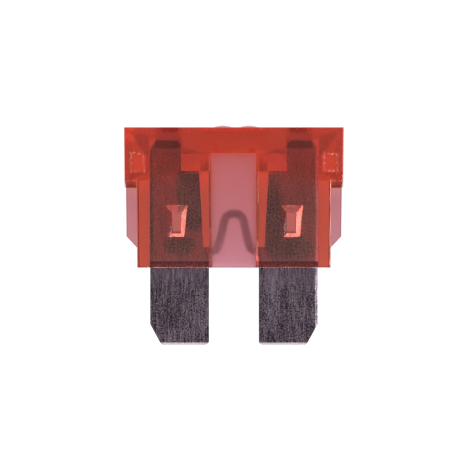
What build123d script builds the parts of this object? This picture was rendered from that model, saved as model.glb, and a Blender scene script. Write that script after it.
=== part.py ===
from build123d import *
import os
from math import radians, tan

os.makedirs("parts", exist_ok=True)

# Plug-in blade fuse of the standard size, in millimetres. X runs across the two blades, Y along them
# towards the head, and Z through the thickness. The fuse lies on the back of its head, where Z is 0,
# and the origin is under the middle of its outline.

# Stamped strip: two blades, their probe tabs and the link
blade_width = 5.2
blade_thickness = 0.65
blade_gap = 4.4
blade_reach = 6.85          # bare blade below the housing's mouth
tip_bevel_width = 1.0       # outer corner of each tip
tip_bevel_height = 1.85
tip_outer_radius = 0.3
tip_inner_radius = 0.35
tip_lead_in = 0.24          # coined bevel on both faces of the tip, along the blade
tip_lead_depth = 0.05
edge_bevel_width = 0.22     # coined outer edges
edge_bevel_depth = 0.05
neck_setback_low = 0.5      # inner edge stands back above the link's foot
neck_setback_high = 0.88    # and further back at the shoulder
tab_width = 2.74
tab_outer_bevel_width = 0.6
tab_outer_bevel_height = 0.8
tab_inner_bevel = 0.33
link_width = 0.7
link_thickness = 0.3
link_foot_rise = 1.47       # mouth to the middle of the link's feet
link_height = 3.26          # feet to the top of the arch
link_foot_spread = 2.88     # between the two legs at the feet
link_arch_width = 1.46      # between the two legs at the top
link_foot_radius = 0.58
link_arch_radius = 0.7

# Housing walls and outline
body_height = 12.24         # top of the head to the mouth
head_band = 2.27            # solid band above the window
head_drop = 5.15            # top of the head to its underside at the ears
head_overhang = 0.47        # head in front of the cheeks
underside_slope = 0.5       # how much higher the head's underside is at the cheeks' faces than at the ears
underside_arch = 1.1        # and how much higher it is in the middle than at the ends
cheek_wall = 1.615          # plastic on each face of a blade, below the head
cheek_draft = 1.4           # degrees
side_wall = 1.07
ear_reach = 1.02
ear_root_thickness = 1.5
ear_tip_thickness = 1.0
ear_drop = 10.58            # top of the head to the ears' lower end
ear_bevel_width = 0.97
ear_bevel_height = 1.06
wall_draft = 0.6            # degrees
corner_radius = 0.12
rim_radius = 0.08
pad_rise = 0.3              # two low domes on the head's top
pad_width = 2.4
pad_pitch = 2.34
pad_shift = 0.18            # middle of the pair from the fuse's middle
pad_root = 0.1              # how far a dome goes on below the surface
panel_width = 1.14          # shallow panel near each corner of the head, on both faces
panel_height = 1.55
panel_depth = 0.28
panel_inset = 0.6           # from the head's side

# Window over the link
window_side = 0.24          # width of each sloping side wall
window_wall = 0.68          # on average, thicker at the top and thinner at the mouth
chamber_gap_low = 1.75
chamber_gap_high = 0.75
chamber_inset = 0.11        # chamber's side inside the window's flat
prong_width = 0.52          # wedge-shaped nooks above the chamber's upper corners
prong_rise = 0.55

# Pockets that hold the blades
side_clearance = 0.08
face_clearance_low = 0.14
face_clearance_high = 0.09
pocket_headroom = 1.5       # shoulder to the pocket's roof
tab_headroom = 0.15
mouth_flare = 0.28
mouth_flare_height = 0.45
probe_slot_width = 1.6
probe_slot_gap = 1.0
probe_slot_depth = 0.9
probe_slot_flare = 0.2
probe_slot_shift = 0.27     # from the tab's middle towards the fuse's middle

# Stakes that lock the blades
stake_rise = 3.92           # mouth to the middle of each stake
stake_hole_width = 1.16
stake_hole_height = 2.1
stake_hole_radius = 0.2
stake_clearance = 0.08
stake_web = 2.2             # plastic left between the two recess floors
stake_floor_width_top = 0.92
stake_floor_width_bottom = 0.8
stake_floor_height = 1.9
stake_mouth_width_top = 2.1
stake_mouth_width_bottom = 1.57
stake_mouth_above = 1.63    # stake's middle to the recess's upper rim
stake_mouth_below = 1.25

# Heights along Y
overall_length = blade_reach + body_height + pad_rise
tip_y = -overall_length / 2
mouth_y = tip_y + blade_reach
top_y = mouth_y + body_height
window_top_y = top_y - head_band
head_low_y = top_y - head_drop
ear_low_y = top_y - ear_drop
shoulder_y = window_top_y - pocket_headroom
channel_top_y = top_y - probe_slot_depth
tab_top_y = channel_top_y - tab_headroom
foot_y = mouth_y + link_foot_rise
foot_top_y = foot_y + link_width / 2
stake_y = mouth_y + stake_rise

# Places along X, measured from the middle
inner_x = blade_gap / 2
outer_x = inner_x + blade_width
neck_low_x = inner_x + neck_setback_low
neck_high_x = inner_x + neck_setback_high
tab_inner_x = outer_x - tab_width
stake_x = (neck_low_x + outer_x) / 2
probe_slot_x = outer_x - tab_width / 2 - probe_slot_shift
pocket_side_x = outer_x + side_clearance
cheek_half = pocket_side_x + side_wall
head_half = cheek_half + ear_reach
side_fall = tan(radians(wall_draft))
head_low_half = head_half - head_drop * side_fall
ear_high_half = head_half - head_band * side_fall
ear_low_half = head_half - ear_drop * side_fall
cheek_low_half = cheek_half - (window_top_y - mouth_y) * side_fall
panel_x = head_half - panel_inset - panel_width / 2
window_flat_x = inner_x - window_side
chamber_x = window_flat_x - chamber_inset

# Thicknesses along Z
pocket_gap_high = blade_thickness + 2 * face_clearance_high
pocket_gap_low = blade_thickness + 2 * face_clearance_low
cheek_thickness = blade_thickness + 2 * face_clearance_low + 2 * cheek_wall
cheek_low_thickness = cheek_thickness - 2 * (window_top_y - mouth_y) * tan(radians(cheek_draft))
head_thickness = cheek_thickness + 2 * head_overhang
window_thickness = (chamber_gap_low + chamber_gap_high) / 2 + 2 * window_wall
mid_z = head_thickness / 2
pad_radius = (pad_width**2 / 4 + pad_rise**2) / (2 * pad_rise)
margin = 0.5                # how far a cut runs past the face it opens

mid_plane = Plane.XY.offset(mid_z)


def level(y):
    """Plane across the fuse at height y: its own x is X, its own y is Z, and it extrudes to the mouth."""
    return Plane(origin=(0, y, mid_z), x_dir=(1, 0, 0), z_dir=(0, -1, 0))


def upright(x):
    """Plane along the fuse at place x: its own x is Y, its own y is Z, and it extrudes towards +X."""
    return Plane(origin=(x, 0, mid_z), x_dir=(0, 1, 0), z_dir=(1, 0, 0))


# Blade core: the pocket that the strip slides into, as its front outline cut by its side section.
# The outline follows the strip with side clearance, and the section is drafted and flares at the mouth.
with BuildPart() as blade_core:
    with BuildSketch(mid_plane):
        with BuildLine():
            Polyline(
                (0, mouth_y - margin),
                (pocket_side_x, mouth_y - margin),
                (pocket_side_x, channel_top_y),
                (tab_inner_x - side_clearance, channel_top_y),
                (tab_inner_x - side_clearance, window_top_y),
                (neck_high_x - side_clearance, window_top_y),
                (neck_low_x - side_clearance, foot_top_y + side_clearance),
                (0, foot_top_y + side_clearance),
                close=True,
            )
        make_face()
        mirror(about=Plane.YZ)
    extrude(amount=mid_z, both=True)
    with BuildSketch(upright(0)):
        with BuildLine():
            Polyline(
                (mouth_y - margin, 0),
                (mouth_y - margin, pocket_gap_low / 2 + mouth_flare),
                (mouth_y, pocket_gap_low / 2 + mouth_flare),
                (mouth_y + mouth_flare_height, pocket_gap_low / 2),
                (channel_top_y, pocket_gap_high / 2),
                (channel_top_y, 0),
                close=True,
            )
        make_face()
        mirror(about=Plane.XZ)
    extrude(amount=head_half, both=True, mode=Mode.INTERSECT)

# Chamber core: the free space round the link, wider at the mouth than at its roof, with a wedge-shaped
# nook above each upper corner.
with BuildPart() as chamber_core:
    with BuildSketch(mid_plane):
        with BuildLine():
            Polyline(
                (0, mouth_y - margin),
                (chamber_x, mouth_y - margin),
                (chamber_x, window_top_y + prong_rise),
                (chamber_x - prong_width, window_top_y + prong_rise),
                (chamber_x - prong_width, window_top_y),
                (0, window_top_y),
                close=True,
            )
        make_face()
        mirror(about=Plane.YZ)
    extrude(amount=mid_z, both=True)
    with BuildSketch(upright(0)):
        with BuildLine():
            Polyline(
                (mouth_y - margin, 0),
                (mouth_y - margin, chamber_gap_low / 2),
                (window_top_y, chamber_gap_high / 2),
                (window_top_y + prong_rise, 0),
                close=True,
            )
        make_face()
        mirror(about=Plane.XZ)
    extrude(amount=head_half, both=True, mode=Mode.INTERSECT)

# Stake recess: a sloping-sided hollow, from its flat floor out to the front of the right cheek.
with BuildPart() as stake_recess:
    with BuildSketch(mid_plane.offset(stake_web / 2)):
        with BuildLine():
            Polyline(
                (stake_x - stake_floor_width_bottom / 2, stake_y - stake_floor_height / 2),
                (stake_x + stake_floor_width_bottom / 2, stake_y - stake_floor_height / 2),
                (stake_x + stake_floor_width_top / 2, stake_y + stake_floor_height / 2),
                (stake_x - stake_floor_width_top / 2, stake_y + stake_floor_height / 2),
                close=True,
            )
        make_face()
    with BuildSketch(mid_plane.offset(cheek_thickness / 2)):
        with BuildLine():
            Polyline(
                (stake_x - stake_mouth_width_bottom / 2, stake_y - stake_mouth_below),
                (stake_x + stake_mouth_width_bottom / 2, stake_y - stake_mouth_below),
                (stake_x + stake_mouth_width_top / 2, stake_y + stake_mouth_above),
                (stake_x - stake_mouth_width_top / 2, stake_y + stake_mouth_above),
                close=True,
            )
        make_face()
    loft(ruled=True)
    mirror(about=mid_plane)
    mirror(about=Plane.YZ)

# Underside core: what the underside of the head leaves free. It is highest in the middle, slopes from
# the ears up to the cheeks' faces, and is level beyond them.
with BuildPart() as underside_core:
    with BuildSketch(upright(0)):
        with BuildLine():
            Polyline(
                (head_low_y - margin, ear_tip_thickness / 2),
                (head_low_y + underside_arch, ear_tip_thickness / 2),
                (head_low_y + underside_arch + underside_slope, cheek_thickness / 2),
                (head_low_y + underside_arch + underside_slope, head_thickness / 2 + margin),
                (head_low_y - margin, head_thickness / 2 + margin),
                close=True,
            )
        make_face()
    extrude(amount=head_half + margin, dir=(head_half, -underside_arch, 0))
    mirror(about=Plane.YZ)
    mirror(about=mid_plane)

# Corner panels: the shallow hollow near each corner of the head, on its front and its back.
with BuildPart() as corner_panels:
    with BuildSketch(mid_plane.offset(head_thickness / 2 - panel_depth)):
        with Locations((0, window_top_y - panel_height / 2)):
            with GridLocations(2 * panel_x, 0, 2, 1):
                Rectangle(panel_width, panel_height)
    extrude(amount=panel_depth + margin)
    mirror(about=mid_plane)

# Pads: two low domes side by side on the head's top.
with BuildPart() as pads:
    with Locations((pad_shift, top_y + pad_rise - pad_radius, mid_z)):
        with GridLocations(pad_pitch, 0, 2, 1):
            Sphere(pad_radius)
    split(bisect_by=level(top_y - pad_root), keep=Keep.BOTTOM)

# Housing: one moulding, solid outside first, then its hollows, then the stakes through the blades.
with BuildPart() as housing:
    with BuildSketch(mid_plane):
        with BuildLine():
            Polyline(
                (-head_half, top_y),
                (-head_low_half, head_low_y),
                (head_low_half, head_low_y),
                (head_half, top_y),
                close=True,
            )
        make_face()
    extrude(amount=head_thickness / 2, both=True)
    fillet(faces().sort_by(Axis.X)[0].edges().filter_by(Axis.Z, reverse=True), corner_radius)
    fillet(faces().sort_by(Axis.X)[-1].edges().filter_by(Axis.Z, reverse=True), corner_radius)
    fillet(faces().sort_by(Axis.Y)[-1].edges(), rim_radius)
    add(underside_core.part, mode=Mode.SUBTRACT)

    with BuildSketch(level(window_top_y)):
        RectangleRounded(2 * cheek_half, cheek_thickness, corner_radius)
    with BuildSketch(level(mouth_y)):
        RectangleRounded(2 * cheek_low_half, cheek_low_thickness, corner_radius)
    loft(ruled=True)
    fillet(faces().sort_by(Axis.Y)[0].edges(), rim_radius)

    with BuildSketch(level(window_top_y)):
        Rectangle(2 * ear_high_half, ear_root_thickness)
    with BuildSketch(level(ear_low_y)):
        Rectangle(2 * ear_low_half, ear_tip_thickness)
    loft(ruled=True)
    with BuildSketch(mid_plane):
        with BuildLine():
            Polyline(
                (ear_low_half - ear_bevel_width, ear_low_y),
                (ear_low_half, ear_low_y + ear_bevel_height),
                (ear_low_half + margin, ear_low_y + ear_bevel_height),
                (ear_low_half + margin, ear_low_y - margin),
                (ear_low_half - ear_bevel_width, ear_low_y - margin),
                close=True,
            )
        make_face()
        mirror(about=Plane.YZ)
    extrude(amount=ear_root_thickness, both=True, mode=Mode.SUBTRACT)

    add(pads.part)
    add(corner_panels.part, mode=Mode.SUBTRACT)

    with BuildSketch(level(window_top_y)):
        with BuildLine():
            Polyline(
                (window_flat_x, window_thickness / 2),
                (inner_x, cheek_thickness / 2),
                (inner_x, head_thickness / 2 + margin),
                (-inner_x, head_thickness / 2 + margin),
                (-inner_x, cheek_thickness / 2),
                (-window_flat_x, window_thickness / 2),
                close=True,
            )
        make_face()
        mirror(about=Plane.XZ)
    extrude(amount=window_top_y - mouth_y + margin, mode=Mode.SUBTRACT)

    add(blade_core.part, mode=Mode.SUBTRACT)
    add(chamber_core.part, mode=Mode.SUBTRACT)

    with BuildSketch(level(top_y)):
        with GridLocations(2 * probe_slot_x, 0, 2, 1):
            Rectangle(probe_slot_width, probe_slot_gap)
    extrude(amount=probe_slot_depth + tab_headroom / 2, mode=Mode.SUBTRACT)
    with BuildSketch(level(top_y)):
        with GridLocations(2 * probe_slot_x, 0, 2, 1):
            Rectangle(probe_slot_width + 2 * probe_slot_flare, probe_slot_gap + 2 * probe_slot_flare)
    extrude(amount=probe_slot_flare, taper=45, mode=Mode.SUBTRACT)

    with BuildSketch(mid_plane):
        with Locations((-stake_x, stake_y), (stake_x, stake_y)):
            RectangleRounded(
                stake_hole_width - 2 * stake_clearance,
                stake_hole_height - 2 * stake_clearance,
                stake_hole_radius,
            )
    extrude(amount=stake_web / 2, both=True)
    add(stake_recess.part, mode=Mode.SUBTRACT)

# Strip: both blades with their tabs and stake holes, joined by the thinned link.
with BuildPart() as fuse_element:
    with BuildSketch(mid_plane):
        with BuildLine():
            Polyline(
                (inner_x, tip_y),
                (outer_x - tip_bevel_width, tip_y),
                (outer_x, tip_y + tip_bevel_height),
                (outer_x, tab_top_y - tab_outer_bevel_height),
                (outer_x - tab_outer_bevel_width, tab_top_y),
                (tab_inner_x + tab_inner_bevel, tab_top_y),
                (tab_inner_x, tab_top_y - tab_inner_bevel),
                (tab_inner_x, shoulder_y),
                (neck_high_x, shoulder_y),
                (neck_low_x, foot_top_y),
                (inner_x, foot_top_y),
                close=True,
            )
        make_face()
        fillet(vertices().group_by(Axis.Y)[0].sort_by(Axis.X)[0], tip_inner_radius)
        fillet(vertices().group_by(Axis.Y)[0].sort_by(Axis.X)[-1], tip_outer_radius)
        with Locations((stake_x, stake_y)):
            RectangleRounded(stake_hole_width, stake_hole_height, stake_hole_radius, mode=Mode.SUBTRACT)
    extrude(amount=blade_thickness / 2, both=True)
    with BuildSketch(level(tab_top_y)):
        with BuildLine():
            Polyline(
                (inner_x, 0),
                (inner_x, blade_thickness / 2),
                (outer_x - edge_bevel_width, blade_thickness / 2),
                (outer_x, blade_thickness / 2 - edge_bevel_depth),
                (outer_x, 0),
                close=True,
            )
        make_face()
        mirror(about=Plane.XZ)
    extrude(amount=tab_top_y - tip_y, mode=Mode.INTERSECT)
    with BuildSketch(upright(0)):
        with BuildLine():
            Polyline(
                (tip_y, 0),
                (tip_y, blade_thickness / 2 - tip_lead_depth),
                (tip_y + tip_lead_in, blade_thickness / 2),
                (tab_top_y, blade_thickness / 2),
                (tab_top_y, 0),
                close=True,
            )
        make_face()
        mirror(about=Plane.XZ)
    extrude(amount=head_half, mode=Mode.INTERSECT)
    mirror(about=Plane.YZ)

    with BuildLine(mid_plane) as link_line:
        FilletPolyline(
            (-inner_x - link_width / 2, foot_y),
            (-link_foot_spread / 2, foot_y),
            (-link_arch_width / 2, foot_y + link_height),
            (link_arch_width / 2, foot_y + link_height),
            (link_foot_spread / 2, foot_y),
            (inner_x + link_width / 2, foot_y),
            radius=(link_foot_radius, link_arch_radius, link_arch_radius, link_foot_radius),
        )
    with BuildSketch(upright(-inner_x - link_width / 2)):
        with Locations((foot_y, 0)):
            Rectangle(link_width, link_thickness)
    sweep(path=link_line.wire())

housing.part.label = "housing"
fuse_element.part.label = "fuse_element"
export_step(housing.part, "parts/housing.step")
export_step(fuse_element.part, "parts/fuse_element.step")
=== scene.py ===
import bpy
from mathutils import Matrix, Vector


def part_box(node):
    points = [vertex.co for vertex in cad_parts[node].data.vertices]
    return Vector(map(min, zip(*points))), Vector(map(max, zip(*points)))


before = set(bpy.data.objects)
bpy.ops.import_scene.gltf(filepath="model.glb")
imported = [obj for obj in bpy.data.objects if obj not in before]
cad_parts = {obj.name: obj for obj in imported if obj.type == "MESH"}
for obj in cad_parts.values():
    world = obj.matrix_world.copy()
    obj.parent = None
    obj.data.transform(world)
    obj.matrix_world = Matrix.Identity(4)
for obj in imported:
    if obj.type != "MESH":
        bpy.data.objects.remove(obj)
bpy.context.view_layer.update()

# Camera. The fuse lies on its back, so the camera hangs over it and looks straight down at its front
# face. It is a long lens at a hand's length, with the middle of the fuse just left of the frame's middle.
mm = 0.001
strip_low, strip_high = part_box("fuse_element")
strip_z = (strip_low.z + strip_high.z) / 2
camera_height = 150 * mm
view_width = 41.6 * mm
view_centre = Vector((0.097 * mm, 0.015 * mm))
lens = bpy.data.cameras.new("camera")
lens.sensor_width = 36
lens.lens = lens.sensor_width * camera_height / view_width
lens.clip_start = 0.01
lens.clip_end = 5
camera = bpy.data.objects.new("camera", lens)
camera.location = (view_centre.x, view_centre.y, strip_z + camera_height)
bpy.context.scene.collection.objects.link(camera)
bpy.context.scene.camera = camera
bpy.context.scene.view_settings.view_transform = "Standard"

# Light table. A wide pale sheet that glows from below, so that the red plastic is lit through from
# behind. It isn't plain: in the housing's outline it is painted dimmer and tinted, a painted shadow of
# the housing, because on an even sheet the plastic comes out paler than the photograph's.
table_half = 400 * mm
sheet = bpy.data.meshes.new("light_table")
sheet_corners = [(-table_half, -table_half, 0), (table_half, -table_half, 0)]
sheet_corners += [(table_half, table_half, 0), (-table_half, table_half, 0)]
sheet.from_pydata(sheet_corners, [], [(0, 1, 2, 3)])
table = bpy.data.objects.new("light_table", sheet)
bpy.context.scene.collection.objects.link(table)


class Signal:
    """One output socket of a node tree. Arithmetic on signals adds Math nodes."""

    def __init__(self, tree, socket):
        self.tree = tree
        self.socket = socket

    def math(self, operation, *others):
        node = self.tree.nodes.new("ShaderNodeMath")
        node.operation = operation
        for place, value in zip(node.inputs, (self, *others)):
            feed(self.tree, place, value)
        return Signal(self.tree, node.outputs[0])

    def __add__(self, other):
        return self.math("ADD", other)

    def __sub__(self, other):
        return self.math("SUBTRACT", other)

    def __rsub__(self, other):
        return self.math("MULTIPLY_ADD", -1, other)

    def __mul__(self, other):
        return self.math("MULTIPLY", other)

    def __truediv__(self, other):
        return self.math("DIVIDE", other)

    def __pow__(self, other):
        return self.math("POWER", other)

    def __abs__(self):
        return self.math("ABSOLUTE")

    __radd__ = __add__
    __rmul__ = __mul__

    def at_least(self, floor):
        return self.math("MAXIMUM", floor)

    def at_most(self, ceiling):
        return self.math("MINIMUM", ceiling)

    def clipped(self):
        """Held between 0 and 1."""
        return self.at_least(0).at_most(1)

    def above(self, edge, rate):
        """0 up to an edge, then rising to 1 by rate per unit."""
        return ((self - edge) * rate).clipped()

    def below(self, edge, rate):
        """0 from an edge on, and before it rising to 1 by rate per unit."""
        return ((edge - self) * rate).clipped()

    def near(self, middle, half):
        """1 within half of the middle, with edges a tenth of a unit soft."""
        return abs(self - middle).below(half, 10.0)


def feed(tree, place, value):
    """Puts a signal's link or a plain value into a node's input socket."""
    if isinstance(value, Signal):
        tree.links.new(value.socket, place)
    else:
        place.default_value = value


class Finish:
    """A material, or the world, being made. add() makes any node: its settings first, then its sockets."""

    def __init__(self, name, holder=None):
        self.material = holder or bpy.data.materials.new(name)
        self.material.use_nodes = True
        self.tree = self.material.node_tree
        self.tree.nodes.clear()

    def add(self, kind, settings=None, sockets=None, out=0):
        node = self.tree.nodes.new(kind)
        for name, value in (settings or {}).items():
            setattr(node, name, value)
        for name, value in (sockets or {}).items():
            feed(self.tree, node.inputs[name], value)
        return Signal(self.tree, node.outputs[out])

    def place(self, stretch=(1, 1, 1)):
        """Object coordinates in millimetres, multiplied by stretch along each axis."""
        point = self.add("ShaderNodeTexCoord", out="Object")
        return self.add("ShaderNodeMapping", None, {"Vector": point, "Scale": [s / mm for s in stretch]})

    def axes(self, vector):
        """The three coordinates of a vector, each a signal."""
        split = self.add("ShaderNodeSeparateXYZ", None, {"Vector": vector})
        return [Signal(self.tree, socket) for socket in split.socket.node.outputs]

    def noise(self, vector, scale, detail=2, roughness=0.5):
        sockets = {"Vector": vector, "Scale": scale, "Detail": detail, "Roughness": roughness}
        return self.add("ShaderNodeTexNoise", None, sockets)

    def tint(self, factor, low, high):
        """A colour between two, each a signal or three plain numbers, chosen by a factor from 0 to 1.
        A Mix node for colours takes them in its inputs 6 and 7 and gives the mix in its output 2."""
        low, high = (colour if isinstance(colour, Signal) else (*colour, 1) for colour in (low, high))
        return self.add("ShaderNodeMix", {"data_type": "RGBA"}, {"Factor": factor, 6: low, 7: high}, out=2)

    def close(self, surface, volume=None):
        world = isinstance(self.material, bpy.types.World)
        node = self.tree.nodes.new("ShaderNodeOutputWorld" if world else "ShaderNodeOutputMaterial")
        feed(self.tree, node.inputs["Surface"], surface)
        if volume:
            feed(self.tree, node.inputs["Volume"], volume)
        return self.material


def ellipse(x, y, middle, half):
    """1 in the middle of an ellipse, falling with the square of the distance to 0 at its edge."""
    return (1 - ((x - middle[0]) / half[0]) ** 2 - ((y - middle[1]) / half[1]) ** 2).at_least(0)


# The housing's sizes and heights in millimetres. A drop is measured down from the head's top.
housing_low, housing_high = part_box("housing")
pad_rise = 0.30
pad_width = 2.4
pad_pitch = 2.34
pad_shift = 0.18
head_drop = 5.15
window_drop = 2.27
ear_drop = 10.61
ear_cut_drop = 9.50
ear_cut_slope = 0.97 / 1.06
mouth_y = housing_low.y / mm
pad_top_y = housing_high.y / mm
top_y = pad_top_y - pad_rise
underside_y = top_y - head_drop
window_top_y = top_y - window_drop

# The painted shadow: its half widths, and how far it reaches past the pads, the head and the mouth. It is
# wider than the housing, because the sheet lies deeper and looks smaller from above.
head_shade_half = 9.90
ear_shade_half = 9.69
body_shade_half = 8.76
shade_past_pads = 0.20
shade_past_head = 0.34
shade_past_mouth = 0.12
shade_fringe = 0.06
paper = Finish("table_sheet")
across, along, _ = paper.axes(paper.place())


def cap(middle_x):
    """Upper edge of the patch behind one pad: a parabola that falls by the pad's rise at its ends."""
    return ((across - middle_x) / (pad_width / 2)) ** 2 * -pad_rise + (pad_top_y + shade_past_pads)


caps = cap(pad_shift - pad_pitch / 2).at_least(cap(pad_shift + pad_pitch / 2))
crown = caps.at_least(top_y + shade_past_head)


def beyond(foot_y, half_width, cut_y=None):
    """0 between a foot and the crown inside a half width, rising to 1 over the fringe inside the edges.
    Below cut_y the half width shrinks, as the ears' lower corners do."""
    cut = ((cut_y or foot_y) - along).at_least(0) * ear_cut_slope
    out_side = (abs(across) + cut - half_width) / shade_fringe + 1
    out_top = (along - crown) / shade_fringe + 1
    out_foot = (foot_y - along) / shade_fringe + 1
    return out_side.at_least(out_top).at_least(out_foot).clipped()


in_the_open = beyond(underside_y, head_shade_half)
in_the_open = in_the_open.at_most(beyond(top_y - ear_drop, ear_shade_half, top_y - ear_cut_drop))
in_the_open = in_the_open.at_most(beyond(mouth_y - shade_past_mouth, body_shade_half))

# A painted light: a bright spot on the sheet, seen through the head's upper left corner, makes that corner
# glow.
spark_middle = (-9.15, 8.85)
spark_half = (0.55, 0.7)
painted_corner_light = ellipse(across, along, spark_middle, spark_half)

window_shade_half = 2.0
ear_shade_start = 8.6
head_fade_y = underside_y - 1.0
pad_shade_y = top_y + 0.14
beside_window = abs(across).above(window_shade_half, 3.0)
beyond_window = beside_window.at_least(along.above(window_top_y, 3.0))
behind_head = along.above(head_fade_y, 0.5) * beyond_window
behind_ears = abs(across).above(ear_shade_start, 4.0) * (1 - behind_head)
behind_pads = along.above(pad_shade_y, 12.0)

# What the sheet gives off in the open, and the painted shadow it gives off behind each part of the housing.
open_glow = (1.05, 1.05, 1.05)
window_shadow_glow = (0.615, 0.64, 0.61)
cheek_shadow_glow = (0.57, 0.575, 0.585)
head_shadow_glow = (0.74, 0.58, 0.53)
left_ear_shadow_glow = (0.54, 0.45, 0.51)
right_ear_shadow_glow = (0.465, 0.39, 0.47)
pad_shadow_glow = (0.34, 0.05, 0.03)
painted_spark_light = (1.25, 0.95, 0.85)
sheet_glow_and_painted_light = paper.tint(beside_window, window_shadow_glow, cheek_shadow_glow)
sheet_glow_and_painted_light = paper.tint(behind_head, sheet_glow_and_painted_light, head_shadow_glow)
ear_shadow_glow = paper.tint(across.clipped(), left_ear_shadow_glow, right_ear_shadow_glow)
sheet_glow_and_painted_light = paper.tint(behind_ears, sheet_glow_and_painted_light, ear_shadow_glow)
sheet_glow_and_painted_light = paper.tint(behind_pads, sheet_glow_and_painted_light, pad_shadow_glow)
sheet_glow_and_painted_light = paper.tint(painted_corner_light, sheet_glow_and_painted_light, painted_spark_light)
sheet_glow_and_painted_light = paper.tint(in_the_open, sheet_glow_and_painted_light, open_glow)
diffuser = paper.add(
    "ShaderNodeBsdfPrincipled",
    None,
    {
        "Base Color": (0.12, 0.12, 0.12, 1),
        "Roughness": 0.8,
        "Emission Color": sheet_glow_and_painted_light,
        "Emission Strength": 1.0,
    },
)
sheet.materials.append(paper.close(diffuser))

# Studio light. Soft boxes stand to the right, below and above, halfway up, and light the walls and
# bevels that face them. The room glows low down, most of all to the lower right, and is dark overhead,
# so that flat metal facing the camera has little to mirror.


def soft_box(name, place, size, power):
    """A square area light at place, turned to the fuse."""
    light = bpy.data.lights.new(name, "AREA")
    light.size = size
    light.energy = power
    lamp = bpy.data.objects.new(name, light)
    lamp.location = place
    lamp.rotation_euler = (-lamp.location).to_track_quat("-Z", "Y").to_euler()
    bpy.context.scene.collection.objects.link(lamp)


soft_box("right_box", (0.26, -0.03, 0.24), 0.10, 0.46)
soft_box("lower_box", (0.02, -0.30, 0.18), 0.10, 0.39)
soft_box("upper_box", (-0.02, 0.28, 0.27), 0.14, 0.15)

bright_side = Vector((0.78, -0.62, 0)).normalized()
room_glow = 1.2
room_least = 0.21
room = Finish("room", bpy.data.worlds.new("room"))
bpy.context.scene.world = room.material
way = room.add("ShaderNodeTexCoord", out="Generated")
rise = room.add("ShaderNodeVectorMath", {"operation": "DOT_PRODUCT"}, {0: way, 1: (0, 0, 1)}, out="Value")
side = room.add("ShaderNodeVectorMath", {"operation": "DOT_PRODUCT"}, {0: way, 1: bright_side}, out="Value")
low_down = ((1 - abs(rise)) * 1.4).at_most(1)
daylight = low_down * (side * 0.5 + 0.62) * room_glow + room_least
room.close(room.add("ShaderNodeBackground", None, {"Color": (1, 1, 1, 1), "Strength": daylight}))

# Housing. One moulding of clear plastic dyed red: thin ears and the window pass pink light, and the
# thick head turns deep red. It is glossy and slightly wavy, frosted on the window, corners and slots,
# and redder on its stake floors. Painted shade darkens it to a deep red along its rims, over its pads and
# down the window's sides, and to a dark brown in its slots, ear roots and stake feet. The chips round its
# panels are painted light, a faint glow.
window_half = 2.02
window_fringe = 0.12
window_side_x = 2.05
corner_frost_x = 7.4
corner_frost_y = top_y - 4.2
tab_frost_x = 2.6
tab_frost_y = top_y - 2.3
wall_draft = 0.0105
head_half = 9.53
cheek_half = 8.51
head_rim_y = top_y - 0.04
mouth_rim_y = mouth_y + 0.06
slot_mouth_x = 5.6
slot_mouth_y = top_y - 0.12
slot_shade_x = 5.7
slot_shade_y = top_y - 0.9
ear_root_x = 9.25
ear_root_y = top_y - 4.95
stake_x = 5.0
stake_y = mouth_y + 3.92
stake_foot_y = stake_y - 0.815
panel_x = 8.42
panel_y = window_top_y - 0.77
panel_half_width = 0.57
panel_half_height = 0.77
front_z = 4.5

dye = Finish("red_clear_plastic")
dye_x, dye_y, dye_z = dye.axes(dye.place())
from_middle = abs(dye_x)
wave = dye.noise(dye.place(), 0.7, 2)

on_window = from_middle.below(window_half, 1 / window_fringe) * dye_y.below(window_top_y, 1 / window_fringe)
on_corners = from_middle.above(corner_frost_x, 3.0) * dye_y.above(corner_frost_y, 2.0)
over_tabs = from_middle.above(tab_frost_x, 3.0) * dye_y.above(tab_frost_y, 3.0)
frosted = on_corners.at_least(over_tabs)

# Painted shade in dark brown: at the slots' mouths, down the slots, at the ears' roots and along the stakes'
# feet.
slot_mouth_shade = from_middle.near(slot_mouth_x, 0.8) * dye_y.near(slot_mouth_y, 0.30) * 0.75
slot_shade = from_middle.near(slot_shade_x, 1.2) * dye_y.near(slot_shade_y, 0.95) * 0.32
ear_root_shadow = from_middle.near(ear_root_x, 0.7) * dye_y.near(ear_root_y, 0.30)
stake_foot_shade = from_middle.near(stake_x, 0.55) * dye_y.near(stake_foot_y, 0.12) * 0.55
brown_painted_shade = slot_mouth_shade.at_least(slot_shade).at_least(ear_root_shadow).at_least(stake_foot_shade)

head_side = from_middle + (top_y - dye_y) * wall_draft
cheek_side = from_middle + (window_top_y - dye_y) * wall_draft
# Painted shade: a dark red along the head's top, the mouth, the head's sides and the cheeks' sides, and over
# the pads.
rims = dye_y.near(head_rim_y, 0.06).at_least(dye_y.near(mouth_rim_y, 0.08))
rims = rims.at_least(head_side.near(head_half, 0.06))
rims = rims.at_least(cheek_side.near(cheek_half, 0.05) * dye_y.below(underside_y, 20.0))
rim_and_pad_shade = (rims * 0.5).at_least(dye_y.above(top_y, 20.0) * 0.75)
# Painted shade: a dark red line down each side of the window.
window_side_shade = from_middle.near(window_side_x, 0.13) * dye_y.below(window_top_y, 1.0) * 0.6
stake_floor = from_middle.near(stake_x, 0.62) * dye_y.near(stake_y, 1.36)

# The chips are painted light: a faint glow of the surface. They aren't cut into it.
coarse_speck = dye.noise(dye.place(), 5.5, 2, 0.7)
fine_speck = dye.noise(dye.place(), 8.0, 2, 0.7)
past_side = abs(from_middle - panel_x) - panel_half_width
past_end = abs(dye_y - panel_y) - panel_half_height
past_panel = past_side.at_least(past_end)
panel_rim = abs(past_panel + (coarse_speck - 0.5) * 0.5).below(0.12, 16.0)
rim_chips = panel_rim * ((fine_speck - 0.56) * 12.0).at_least(0)
bright_specks = fine_speck.above(0.735, 20.0)
chips = rim_chips.at_least(bright_specks).at_most(1) * dye_z.above(front_z, 20.0)

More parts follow.
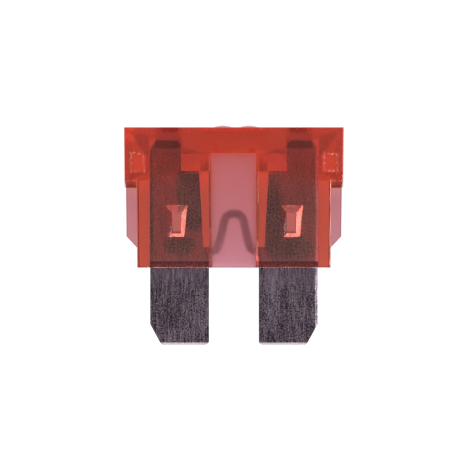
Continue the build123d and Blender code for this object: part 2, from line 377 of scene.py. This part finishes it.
stake_red = (0.94, 0.60, 0.82)
window_side_shade_red = (0.40, 0.02, 0.01)
rim_shade_red = (0.40, 0.05, 0.04)
shade_brown = (0.26, 0.10, 0.02)
chip_glint = (0.62, 0.34, 0.27)
dye_tone = dye.tint(wave, (0.97, 0.70, 0.90), (0.99, 0.74, 0.94))
dye_tone = dye.tint(stake_floor, dye_tone, stake_red)
# Painted shade from here: dark red down the window's sides and along the rims and pads, dark brown in the
# slots, ear roots and stake feet.
dye_tone = dye.tint(window_side_shade, dye_tone, window_side_shade_red)
dye_tone = dye.tint(rim_and_pad_shade, dye_tone, rim_shade_red)
dye_tone = dye.tint(brown_painted_shade, dye_tone, shade_brown)
flow_lines = dye.add("ShaderNodeBump", None, {"Strength": 0.25, "Distance": 0.02 * mm, "Height": wave})
plastic = dye.add(
    "ShaderNodeBsdfPrincipled",
    None,
    {
        "Base Color": dye_tone,
        "Emission Color": dye.tint(chips, (0, 0, 0), chip_glint),
        "Emission Strength": 1.0,
        "Roughness": wave * 0.05 + on_window * 0.34 + frosted * 0.22 + 0.02,
        "IOR": 1.53,
        "Transmission Weight": 0.99,
        "Normal": flow_lines,
    },
)
depth = dye.add("ShaderNodeVolumeAbsorption", None, {"Color": (0.955, 0.52, 0.30, 1), "Density": 1000.0})


def dress(name, material):
    """Gives one of the part's own solids its material."""
    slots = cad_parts[name].data.materials
    slots.clear()
    slots.append(material)


dress("housing", dye.close(plastic, depth))

# Strip. Zinc sheet with a dull tin coat, slit and stamped, so its grain runs along the blades, and held
# by the stakes through its holes. Inside the housing it is clean with darker patches, darker in the slots
# and darkened at the mouth by a painted shadow. Outside it is tarnished, scuffed and speckled with rubbed
# points, and its tips carry a painted highlight.
slot_y = top_y - 1.85
scuff_y = mouth_y - 2.6
shadow_y = mouth_y + 0.62
tip_y = strip_low.y / mm + 0.24
link_half = 2.45

tin = Finish("tinned_strip")
tin_x, tin_y, _ = tin.axes(tin.place())
inside = tin_y.above(mouth_y, 8.0)
in_slot = tin_y.above(slot_y, 6.0)
in_link = abs(tin_x).below(link_half, 8.0)
# Painted shadow: the strip is darkened just inside the mouth.
at_mouth = tin_y.below(shadow_y, 12.0) * inside
at_tip = tin_y.below(tip_y, 12.0)
scuffed = tin_y.above(scuff_y, 0.6)

grain = tin.noise(tin.place((4, 0.35, 1)), 2.6, 3, 0.65)
patch = tin.noise(tin.place((1, 0.5, 1)), 0.5, 2, 0.5)
mottle = tin.noise(tin.place((1, 0.8, 1)), 9.0, 3, 0.75)
pits = tin.noise(tin.place(), 7.0, 1, 0.6)
warmth = tin.noise(tin.place((1, 0.5, 1)), 1.5, 2, 0.6)
rubbed = pits.above(0.68, 12.0)
unscuffed = 1 - scuffed * 0.6

outer_shade = (grain - 0.5) * 1.4 + (mottle - 0.5) * unscuffed * 3.0 + (patch - 0.5) * 0.7
outer_shade = (outer_shade + scuffed * 0.16 + 0.38).clipped() ** 1.4
outer_shade = (outer_shade + rubbed).at_most(1)
inner_shade = (grain - 0.5) * 1.9 + (mottle - 0.5) * 2.8 + (pits - 0.5) * 2.6 + (patch - 0.5) * 1.2
inner_shade = (inner_shade + rubbed * 0.5 + 0.57).clipped()

# Darker patches on the strip inside the housing.
dark_patches = (
    ellipse(tin_x, tin_y, (-3.6, 3.8), (1.6, 3.8)) * 2.6
    + ellipse(tin_x, tin_y, (-4.8, -0.8), (1.6, 1.2))
    + ellipse(tin_x, tin_y, (-7.35, 1.5), (0.4, 7.0))
    + ellipse(tin_x, tin_y, (3.3, 1.6), (1.2, 4.5))
    + ellipse(tin_x, tin_y, (5.0, -1.2), (2.6, 1.5))
    + ellipse(tin_x, tin_y, (5.4, 2.0), (3.6, 6.0)) * 0.5
    + ellipse(tin_x, tin_y, (-4.9, -0.5), (2.8, 2.6)) * 0.4
)
in_dark_patches = (dark_patches * 1.1 + (patch - 0.5) * 1.8 + (mottle - 0.5) * 1.5 - 0.05).clipped()

tarnish = (0.045, 0.030, 0.040)
tip_highlight = (0.95, 0.86, 0.84)
clean_tone = tin.tint(inner_shade, (0.40, 0.84, 0.84), (0.90, 1.0, 1.0))
dark_patch_tone = tin.tint(inner_shade, (0.12, 0.48, 0.48), (0.46, 1.0, 1.0))
link_tone = tin.tint(inner_shade, (0.34, 0.34, 0.33), (0.86, 0.80, 0.76))
mouth_shadow_tone = tin.tint(inner_shade, (0.10, 0.10, 0.10), (0.25, 0.25, 0.25))
slot_tone = tin.tint(inner_shade, (0.34, 0.52, 0.50), (0.66, 0.90, 0.85))
outer_tone = tin.tint(outer_shade, tarnish, tin.tint(warmth, (0.78, 0.58, 0.63), (0.62, 0.50, 0.74)))
# Painted highlight: a pale band along the blades' tip edges.
outer_tone = tin.tint(at_tip * 0.6, outer_tone, tip_highlight)
inner_tone = tin.tint(in_dark_patches, clean_tone, dark_patch_tone)
inner_tone = tin.tint(in_link, inner_tone, link_tone)
inner_tone = tin.tint(at_mouth, inner_tone, mouth_shadow_tone)
tin_tone = tin.tint(in_slot, tin.tint(inside, outer_tone, inner_tone), slot_tone)
scratches = tin.add("ShaderNodeBump", None, {"Strength": 0.4, "Distance": 0.008 * mm, "Height": outer_shade})
metal = tin.add(
    "ShaderNodeBsdfPrincipled",
    None,
    {
        "Base Color": tin_tone,
        "Metallic": 1.0,
        "Roughness": grain * 0.2 + inside * 0.15 + at_tip * 0.2 + 0.22,
        "Normal": scratches,
    },
)
dress("fuse_element", tin.close(metal))
